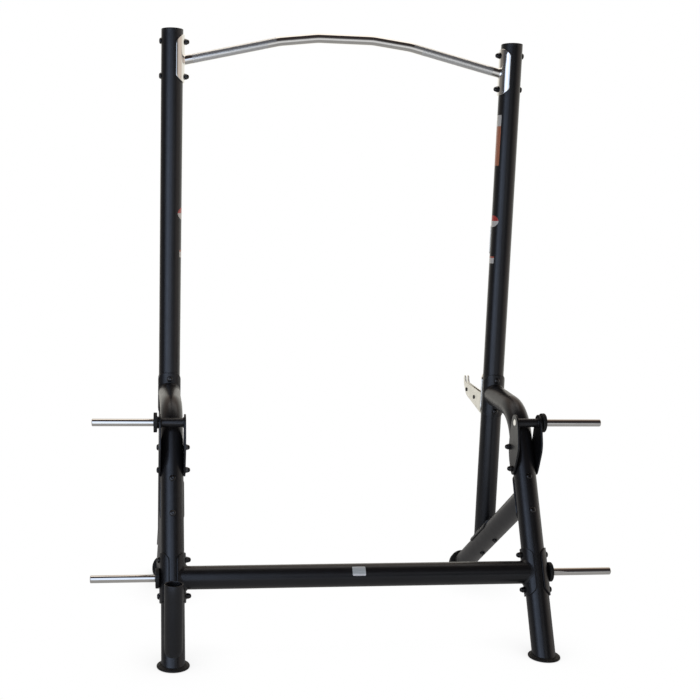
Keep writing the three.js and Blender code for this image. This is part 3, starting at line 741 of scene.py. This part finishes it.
def brace(name, side):
    """The straight tube up to its saddle plate on the leg."""
    x = side * HALF_SPAN
    meeting = on_leg(x, MEETING_Z)
    top = meeting + brace_down * 90
    stations = straight(on_brace(x, BRACE_END_Z), top)
    rings = tube_rings(stations, TUBE_R, ACROSS)
    end = cope_ring(rings[-1], -brace_down, meeting, leg_up, COPE_R)
    finish_mesh(f"brace_{name}_tube", skin(rings + [end]), powder_coat, [f"brace_{name}"])
    bm = rolled_plate(meeting, leg_front, leg_up, SADDLE_LENGTH)
    weld(bm, top, -brace_down, TUBE_R, meeting, leg_up, PLATE_OUT)
    finish_mesh(f"brace_{name}_saddle", bm, powder_coat)


def crossmember():
    """The tube between the legs, with a saddle plate at each end."""
    middle = on_leg(0, CROSS_Z)
    reach = Vector((HALF_SPAN - COPE_START, 0, 0))
    rings = tube_rings(straight(middle - reach, middle + reach), TUBE_R, UP)
    ends = [on_leg(side * HALF_SPAN, CROSS_Z) for side in (-1, 1)]
    start = cope_ring(rings[0], Vector((-1, 0, 0)), ends[0], leg_up, COPE_R)
    end = cope_ring(rings[-1], ACROSS, ends[1], leg_up, COPE_R)
    finish_mesh("crossmember_tube", skin([start] + rings + [end]), powder_coat, ["crossmember"])
    for (name, side), at in zip(SIDES.items(), ends):
        bm = rolled_plate(at, Vector((-side, 0, 0)), leg_up, SADDLE_LENGTH)
        weld(bm, at - Vector((side * 120, 0, 0)), Vector((side, 0, 0)), TUBE_R, at, leg_up, PLATE_OUT, 5.5)
        finish_mesh(f"crossmember_saddle_{name}", bm, powder_coat)


def pullup_bar():
    """The bar with four bends, knurled where it slopes, and a saddle plate at each end."""
    bends, end = [(98, 2037.5), (235, 2021)], (HALF_SPAN, 1934.1)
    half = [Vector((x, 0, z)) for x, z in bends + [end]]
    mirrored = [Vector((-p.x, 0, p.z)) for p in reversed(half)]
    slope = (half[2] - half[1]).normalized()
    tip = half[1] + slope * ((HALF_SPAN - COPE_START - half[1].x) / slope.x)
    corners = [Vector((-tip.x, 0, tip.z))] + mirrored[1:] + half[:2] + [tip]
    rings = tube_rings(bent_path(corners, BAR_BEND_R, 14), BAR_R, BACK, 56)
    first = cope_ring(rings[0], Vector((-slope.x, 0, slope.z)), Vector((-HALF_SPAN, 0, 0)), UP, COPE_R)
    last = cope_ring(rings[-1], slope, Vector((HALF_SPAN, 0, 0)), UP, COPE_R)
    tube = finish_mesh("pullup_bar_tube", skin([first] + rings + [last]), chrome, ["pullup_bar"])
    bend = (half[1] + SHIFT) * MM
    knurl = make_knurl("knurled_chrome", "chrome", bend, math.asin(-slope.z), BAR_R * MM, KNURL_PITCH * MM)
    tube.data.materials.append(knurl)
    for face in tube.data.polygons:
        face.material_index = int(KNURL_FROM < abs(face.center.x) / MM < KNURL_TO)
    for name, side in SIDES.items():
        post = Vector((side * HALF_SPAN, 0, BAR_PLATE_Z))
        aim = Vector((slope.x * side, 0, slope.z))
        bm = rolled_plate(post, Vector((-side, 0, 0)), UP, SADDLE_LENGTH)
        weld(bm, Vector((tip.x * side, 0, tip.z)), aim, BAR_R, post, UP, PLATE_OUT, 3.4)
        finish_mesh(f"pullup_bar_saddle_{name}", bm, chrome)


def bar_holder():
    """The open sleeve, its lower edge shaped to the leg."""
    x, y, top, outer, inner = -HALF_SPAN, -662.0, 270.0, 30.15, 26.0
    centre = Vector((x, y, top))

    def foot(p, clear=TUBE_R + 2 * GAP):
        dx = p.x - x
        z = (p.y + math.sqrt(clear ** 2 - dx ** 2) / leg_up.z - LEG_FOOT_Y) / LEG_SLOPE
        return Vector((p.x, p.y, z))

    def ring(radius, share, drop=0.0):
        """A ring some share of the way from the shaped foot to the top."""
        points = circle(centre, radius, ACROSS, FRONT, 96)
        return [foot(p).lerp(Vector((p.x, p.y, top - drop)), share) for p in points]

    lip, shares = 1.4, [k / 8 for k in range(8)]
    rings = [ring(outer, share, lip) for share in shares + [1]]
    rings += [ring(outer - lip * (1 - math.cos(t)), 1, lip * (1 - math.sin(t)))
              for t in EDGE_STEPS]
    rings += [ring(inner + lip * (1 - math.sin(t)), 1, lip * (1 - math.cos(t)))
              for t in (0, *EDGE_STEPS)]
    rings += [ring(inner, share, lip) for share in reversed(shares)]
    finish_mesh("bar_holder_sleeve", skin(rings, loop=True), powder_coat, ["bar_holder"])


def leaf_outline():
    """The cheek plate's outline: a smooth closed curve through knots placed about the peg."""
    knots = [(0, 28), (24, 14), (37, -38), (43, -92), (31, -136), (8, -174), (-6, -181),
             (-19, -174), (-36, -131), (-50, -82), (-41, -32), (-26, 12)]
    points = []
    count = len(knots)
    for i in range(count):
        p0, p1, p2, p3 = (Vector(knots[(i + k) % count]) for k in (-1, 0, 1, 2))
        for k in range(8):
            t = k / 8
            q = 0.5 * (2 * p1 + (p2 - p0) * t + (2 * p0 - 5 * p1 + 4 * p2 - p3) * t * t
                       + (3 * p1 - p0 - 3 * p2 + p3) * t ** 3)
            points.append((UPPER_PEG_Y + q.x, UPPER_PEG_Z + q.y))
    return points


def peg_bracket(name, side):
    """Leaf-shaped cheek plates on both sides of the leg, with the cross tube that takes the peg."""
    x = side * HALF_SPAN
    low = TUBE_R + GAP
    for word, way in (("inner", -side), ("outer", side)):
        near, far = sorted((x + way * low, x + way * (low + BRACKET_THICK)))
        bm = flat_plate(leaf_outline(), near, far, 1.1)
        cheek = finish_mesh(f"peg_bracket_{name}_{word}_cheek", bm, powder_coat)
        hole = [(0, -8), (PEG_R + 0.6, -8), (PEG_R + 0.6, 8), (0, 8)]
        drill(cheek, lathe(hole, Vector(((near + far) / 2, UPPER_PEG_Y, UPPER_PEG_Z)), ACROSS, 64))
    middle = Vector((x, UPPER_PEG_Y, UPPER_PEG_Z))
    reach = low + 1
    stations = [reach * (k / 4 - 1) for k in range(9)]
    profile = [(BRACKET_TUBE_R, h) for h in stations] + [(PEG_R + GAP, h) for h in reversed(stations)]
    rings = [circle(middle + ACROSS * h, r, FRONT, UP, 56) for r, h in profile]
    bm = skin(rings, loop=True)
    for way in (-1, 1):
        seam = []
        for k in range(8):
            t = 2 * math.pi * k / 8
            place = middle + ACROSS * way * (low - 1.5 + 1.8 * math.cos(t))
            seam.append(circle(place, BRACKET_TUBE_R + 1 + 2.2 * math.sin(t), FRONT, UP, 120))
        skin(seam, loop=True, bm=bm)
    finish_mesh(f"peg_bracket_{name}_tube", bm, powder_coat, [f"peg_bracket_{name}"])


def peg(label, name, side, start, y, z):
    """A chromed rod that starts some way out from the centre plane and ends at the tip."""
    out = Vector((side, 0, 0))
    length = PEG_TIP - start
    chamfer = 2.2
    profile = [(0, 0), (PEG_R, 0), (PEG_R, length - chamfer), (PEG_R - chamfer, length), (0, length)]
    bm = lathe(softened(profile, 0.8, 4), Vector((side * start, y, z)), out, 64)
    finish_mesh(f"{label}_{name}_rod", bm, chrome, [f"{label}_{name}"])


def hub(label, name, side, start, neck, y, z):
    """A rubber stop: a disc with rounded edges and a shallow groove in its face, on a neck if it has one."""
    face, bore = neck + HUB_THICK, PEG_R + GAP
    foot = [(bore, 0), (HUB_NECK_R, 0), (HUB_NECK_R, neck)] if neck else [(bore, 0)]
    body = softened(foot + [(HUB_R, neck), (HUB_R, face - 0.3), (27, face), (25.5, face - 1.2), (24, face),
                            (17, face), (bore, face)], 1.6, 5)
    origin, out = Vector((side * start, y, z)), Vector((side, 0, 0))
    rings = [circle(origin + out * p[1], p[0], FRONT, UP, 72) for p in body]
    finish_mesh(f"{label}_hub_{name}_stop", skin(rings, loop=True), rubber, [f"{label}_hub_{name}"])


def lower_peg_saddle(name, side):
    """The plate outside the leg, with a weld for the peg."""
    at = on_leg(side * HALF_SPAN, CROSS_Z)
    bm = rolled_plate(at, Vector((side, 0, 0)), leg_up, SADDLE_LENGTH)
    weld(bm, at + Vector((side * 90, 0, 0)), Vector((-side, 0, 0)), PEG_R, at, leg_up, PLATE_OUT, 2.2)
    finish_mesh(f"lower_peg_{name}_saddle", bm, powder_coat, [f"lower_peg_saddle_{name}"])


def rear_foot(name, side):
    """A round disc with a stepped edge."""
    x = side * HALF_SPAN
    profile = softened([(0, 0), (51.5, 0), (52.4, 1.6), (52.4, 4.6), (49.5, 6.6), (44.0, 7.6),
                        (42.4, FLANGE_THICK), (0, FLANGE_THICK)], 1.4, 4)
    bm = lathe(profile, Vector((x, LEG_FOOT_Y, 0)), UP, 96)
    finish_mesh(f"rear_foot_{name}_disc", bm, rubber, [f"rear_foot_{name}"])


def front_foot(name, side):
    """A round boot over the end of the brace, cut flat where it stands on the floor."""
    x = side * HALF_SPAN
    profile = softened([(0, GAP), (TUBE_R + 1, GAP), (50, GAP), (53.8, 4.5), (53.8, 30), (47.8, 42), (32, 52),
                        (14, 55.5), (0, 56)], 4, 6)
    bm = lathe(profile, on_brace(x, BRACE_END_Z), brace_down, 96)
    bmesh.ops.remove_doubles(bm, verts=bm.verts, dist=1e-3)
    geometry = bm.verts[:] + bm.edges[:] + bm.faces[:]
    cut = bmesh.ops.bisect_plane(bm, geom=geometry, plane_co=(0, 0, 0), plane_no=(0, 0, -1), clear_outer=True)
    rim = [e for e in cut["geom_cut"] if isinstance(e, bmesh.types.BMEdge)]
    bmesh.ops.contextual_create(bm, geom=rim)
    finish_mesh(f"front_foot_{name}_boot", bm, rubber, [f"front_foot_{name}"])


ARM_OUTLINE = [
    (PLATE_OUT - 1.5, 727), (60, 724), (60, 692), ("Q", (60, 672), (80, 674.5)), (276, 717),
    ("Q", (304, 723), (314, 738)), (334, 763), (339.4, 782), ("A", (329, 786), 11, 0, 180), (313, 776),
    ("Q", (311, 771), (303, 770.5)), (100, 757), ("Q", (80, 757), (68, 780)),
    ("Q", (58, 800), (PLATE_OUT - 1.5, 812))]


def spotter_arm(name, side):
    """Two plates on a saddle plate that faces the front, held apart by two rivets."""
    x = side * HALF_SPAN
    for word, way in (("inner", -1), ("outer", 1)):
        low = x + way * ARM_PLATE_OFF - ARM_PLATE_THICK / 2
        bm = flat_plate(drawn(*ARM_OUTLINE), low, low + ARM_PLATE_THICK, 0.9)
        finish_mesh(f"spotter_arm_{name}_{word}_plate", bm, satin_nickel)
    bm = rolled_plate(Vector((x, 0, COLLAR_Z)), FRONT, UP, SADDLE_LENGTH)
    finish_mesh(f"spotter_arm_{name}_saddle", bm, satin_nickel, [f"spotter_arm_{name}"])
    for word, (y, z) in (("front", (296, 744)), ("rear", (195, 729))):
        half = [(7.9, 3.9), (4, 4.3), (4, 8.4), (8, 8.6), (7.6, 10.6), (5.4, 12.0), (0, 12.1)]
        profile = [(r, -h) for r, h in reversed(half)] + half
        bm = lathe(softened(profile, 0.7, 3), Vector((x, y, z)), ACROSS, 40)
        finish_mesh(f"arm_spacer_{word}_{name}_rivet", bm, black_oxide, [f"arm_spacer_{word}_{name}"])


def bar_hook(name, side):
    """Two J plates on a short rolled saddle, with the pin behind it that enters a hole of the upright."""
    x = side * HALF_SPAN
    inner, thick, seat_y, seat_r = TUBE_R + 2 * GAP, 4.0, 64.0, 15.0
    root, z = inner + thick - 1.5, HOOK_Z
    outline = drawn(
        (root, z - 50), (52, z - 50), ("Q", (86, z - 36), (91, z + 4)), (92, z + 26),
        ("A", (86, z + 26), 6, 0, 180), (seat_y + seat_r, z + 4), ("A", (seat_y, z + 4), seat_r, 0, -180),
        (seat_y - seat_r, z + 50), (root, z + 54))
    body = f"hook_{name}"
    for word, way in (("inner", -1), ("outer", 1)):
        low = x + way * ARM_PLATE_OFF - ARM_PLATE_THICK / 2
        bm = flat_plate(outline, low, low + ARM_PLATE_THICK)
        finish_mesh(f"bar_hook_{name}_{word}_plate", bm, satin_nickel, body=body)
    bm = rolled_plate(Vector((x, 0, z)), FRONT, UP, 116, inner, thick,
                      wrap=math.radians(54), corner=14, edge=1.0)
    pin = softened([(0, 0), (5.8, 0), (7.8, 3), (7.8, 29), (0, 29)], 0.8, 4)
    lathe(pin, Vector((x, inner + 2 - 28, z)), FRONT, 40, bm=bm)
    finish_mesh(f"bar_hook_{name}_saddle", bm, satin_nickel, [f"bar_hook_{name}"], body=body)


def fasteners(name, side):
    """All the bolts of one side, with nuts facing inwards or to the front."""
    x = side * HALF_SPAN
    inward = Vector((-side, 0, 0))
    bare, plated = TUBE_R + GAP, PLATE_OUT + GAP
    cheek = TUBE_R + BRACKET_THICK + 2 * GAP
    bolt_pair("pullup", name, Vector((x, 0, BAR_PLATE_Z)), UP, BOLT_OFFSET,
              to_nut=inward, head_seat=bare, nut_seat=plated, acorn=True)
    bolt_pair("collar", name, Vector((x, 0, COLLAR_Z)), UP, BOLT_OFFSET,
              to_nut=FRONT, head_seat=plated, nut_seat=plated, acorn=False)
    bolt_pair("base", name, on_brace(x, CROSSING_Z) + brace_down * BASE_SHIFT, -brace_down, BASE_BOLT,
              to_nut=brace_top, head_seat=bare, nut_seat=plated, acorn=False)
    bolt_pair("brace", name, on_leg(x, MEETING_Z), leg_up, BOLT_OFFSET,
              to_nut=leg_front, head_seat=bare, nut_seat=plated, acorn=False)
    bolt_pair("crossmember", name, on_leg(x, CROSS_Z), leg_up, BOLT_OFFSET,
              to_nut=inward, head_seat=plated, nut_seat=plated, acorn=True)
    for word, height in BRACKET_BOLTS.items():
        bolt(f"peg_bracket_bolt_{word}_{name}", on_leg(x, height), inward, cheek, cheek, True)


def label(name, centre, facing, along, half_arc, length, corner, material):
    """A thin film on a main tube; half_arc is how far it wraps each way, in degrees."""
    bm = rolled_plate(centre, facing, along, length, inner=TUBE_R + 0.1, thick=0.25,
                      wrap=math.radians(half_arc), corner=corner, edge=0.08, spacing=2)
    finish_mesh(name, bm, material)


def labels():
    """Blank films where the rack has its labels: no lettering."""
    rise = math.radians(38.8)
    label("label_crossmember", on_leg(-1.5, CROSS_Z), BACK * math.cos(rise) + UP * math.sin(rise),
          ACROSS, 24.5, 44, 3.5, foil)
    for name, side in SIDES.items():
        post, inward = Vector((side * HALF_SPAN, 0, 0)), Vector((-side, 0, 0))
        label(f"label_oval_{name}", post + UP * 1417, inward, UP, 52, 42, 20.9, oval_film)
        label(f"label_small_{name}", post + UP * 1276, inward, UP, 36, 26, 2.5, small_film)
    label("label_tall", Vector((HALF_SPAN, 0, 1707)), Vector((-1, 0, 0)), UP, 35, 180, 3, tall_film)


for side_name, side_sign in SIDES.items():
    upright(side_name, side_sign)
    rear_leg(side_name, side_sign)
    brace(side_name, side_sign)
    peg_bracket(side_name, side_sign)
    low_peg = on_leg(side_sign * HALF_SPAN, CROSS_Z)
    beside_plate = HALF_SPAN + PLATE_OUT + GAP
    beside_cheek = HALF_SPAN + TUBE_R + BRACKET_THICK + 2 * GAP
    peg("upper_peg", side_name, side_sign, HALF_SPAN - TUBE_R - BRACKET_THICK, UPPER_PEG_Y, UPPER_PEG_Z)
    hub("upper_peg", side_name, side_sign, beside_cheek, UPPER_HUB_NECK, UPPER_PEG_Y, UPPER_PEG_Z)
    lower_peg_saddle(side_name, side_sign)
    peg("lower_peg", side_name, side_sign, beside_plate, low_peg.y, low_peg.z)
    hub("lower_peg", side_name, side_sign, beside_plate, 0, low_peg.y, low_peg.z)
    rear_foot(side_name, side_sign)
    front_foot(side_name, side_sign)
    spotter_arm(side_name, side_sign)
    bar_hook(side_name, side_sign)
    fasteners(side_name, side_sign)
crossmember()
pullup_bar()
bar_holder()
labels()


# ---- stage --------

def camera_rays(tree):
    return tree.nodes.new("ShaderNodeLightPath").outputs["Is Camera Ray"]


def make_floor():
    """A pale floor that glows rather than being lit: white to the camera, with painted contact shadow where
    something stands on it.
    Reflections see a painted glow, dim under the rack and brighter towards the camera."""
    bm = bmesh.new()
    bmesh.ops.create_grid(bm, x_segments=8, y_segments=8, size=1)
    mesh = bpy.data.meshes.new("floor")
    bm.to_mesh(mesh)
    bm.free()
    floor = in_scene("floor", mesh)
    floor.location = (0, -2.5, -0.0005)
    floor.scale = (3.2, 5.5, 1)
    material, tree, shader = new_material("floor", "floor")
    tree.nodes.remove(shader)
    # Painted shadow: to the camera the floor darkens where ambient occlusion finds something standing close
    # by.
    painted_contact_shadow = node(tree, "ShaderNodeAmbientOcclusion", Distance=0.22, samples=12)
    seen = ramp(tree, painted_contact_shadow.outputs["AO"], (0.0, 0.42), (0.55, 0.86), (0.93, 1.0))
    split = tree.nodes.new("ShaderNodeSeparateXYZ")
    tree.links.new(tree.nodes.new("ShaderNodeNewGeometry").outputs["Position"], split.inputs["Vector"])
    # Painted light and shade for reflections: the floor glows brighter towards the camera and dimmer under
    # the rack.
    near = fade(tree, split.outputs["Y"], -3.2, -1.2)
    painted_reflected_glow = mix_colour(tree, near, (0.78, 0.78, 0.78), (0.33, 0.32, 0.31))
    # The whole floor is an emitter: its light and shade are painted, not cast by the lamps.
    glow = node(tree, "ShaderNodeEmission")
    tree.links.new(mix_colour(tree, camera_rays(tree), painted_reflected_glow, seen), glow.inputs["Color"])
    tree.links.new(glow.outputs["Emission"], tree.nodes["Material Output"].inputs["Surface"])
    mesh.materials.append(material)


def area_light(name, place, target, size, radiance, colour):
    """A light of a given radiance, unseen by the camera, aimed from a place at a target."""
    data = bpy.data.lights.new(name, "AREA")
    data.shape, data.size, data.size_y = "RECTANGLE", size[0], size[1]
    data.energy, data.color = radiance * math.pi * size[0] * size[1], colour
    light = in_scene(name, data)
    light.location = Vector(place) + SHIFT
    light.rotation_euler = (Vector(target) - Vector(place)).to_track_quat("-Z", "Y").to_euler()
    light.visible_camera = False


def make_world():
    """White to the camera. Reflections see a room: a bright cream backdrop that stops short on the left,
    a warm wall on the right, and a ceiling that is dark on the camera's side."""
    world = bpy.data.worlds.new("studio")
    bpy.context.scene.world = world
    world.use_nodes = True
    tree = world.node_tree
    x, y, z = coordinates(tree, "Generated")
    backdrop = mix_colour(tree, fade(tree, x, -0.85, -0.35), (0.22, 0.20, 0.18), (0.95, 0.92, 0.84))
    front = mix_colour(tree, fade(tree, x, 0.60, 0.95), (0.07, 0.07, 0.075), (0.68, 0.58, 0.50))
    walls = mix_colour(tree, fade(tree, y, -0.12, 0.45), front, backdrop)
    ceiling = mix_colour(tree, fade(tree, y, -0.10, 0.50), (0.035, 0.026, 0.024), (0.50, 0.39, 0.31))
    room = mix_colour(tree, fade(tree, z, 0.25, 0.65), walls, ceiling)
    seen = mix_colour(tree, camera_rays(tree), room, (1.0, 1.0, 1.0))
    tree.links.new(seen, tree.nodes["Background"].inputs["Color"])


def make_lights():
    """A wide window behind the camera, to its left, brightest in its middle; a dim panel to its right;
    a strip over the pull-up bar."""
    area_light("window", (-1.62, -2.15, 1.30), (-0.53, 0, 1.2), (3.2, 2.4), 1.15, (0.72, 0.82, 1.0))
    area_light("window_core", (-1.9, -2.05, 1.45), (-0.6, 0, 1.3), (0.9, 2.1), 0.9, (0.66, 0.80, 1.0))
    area_light("sky", (0, 0.45, 2.95), (0, 0, 2.0), (3.0, 1.0), 0.95, (1.0, 0.96, 0.88))
    area_light("panel", (0.9, -3.6, 1.75), (0.2, 0, 1.9), (1.6, 1.0), 0.50, (1.0, 0.98, 0.95))


def make_camera():
    """The photograph's camera, solved from the rack's outlines."""
    yaw, pitch, roll = 0.1241, -0.1605, 0.0237
    forward = Vector((math.sin(yaw) * math.cos(pitch), math.cos(yaw) * math.cos(pitch), math.sin(pitch)))
    right = Vector((math.cos(yaw), -math.sin(yaw), 0))
    up = right.cross(forward)
    across = math.cos(roll) * right + math.sin(roll) * up
    upward = -math.sin(roll) * right + math.cos(roll) * up
    data = bpy.data.cameras.new("camera")
    data.sensor_width, data.lens = 36.0, 55.694
    data.shift_x, data.shift_y = 0.1140, 0.0701
    data.clip_start, data.clip_end = 0.1, 100
    camera = in_scene("camera", data)
    turn = Matrix((across, upward, -forward)).transposed().to_4x4()
    place = Vector((-0.72684, -3.92281, 1.38890)) + SHIFT
    camera.matrix_world = Matrix.Translation(place) @ turn
    bpy.context.scene.camera = camera


make_floor()
make_world()
make_lights()
make_camera()
bpy.context.scene.view_settings.view_transform = "Standard"
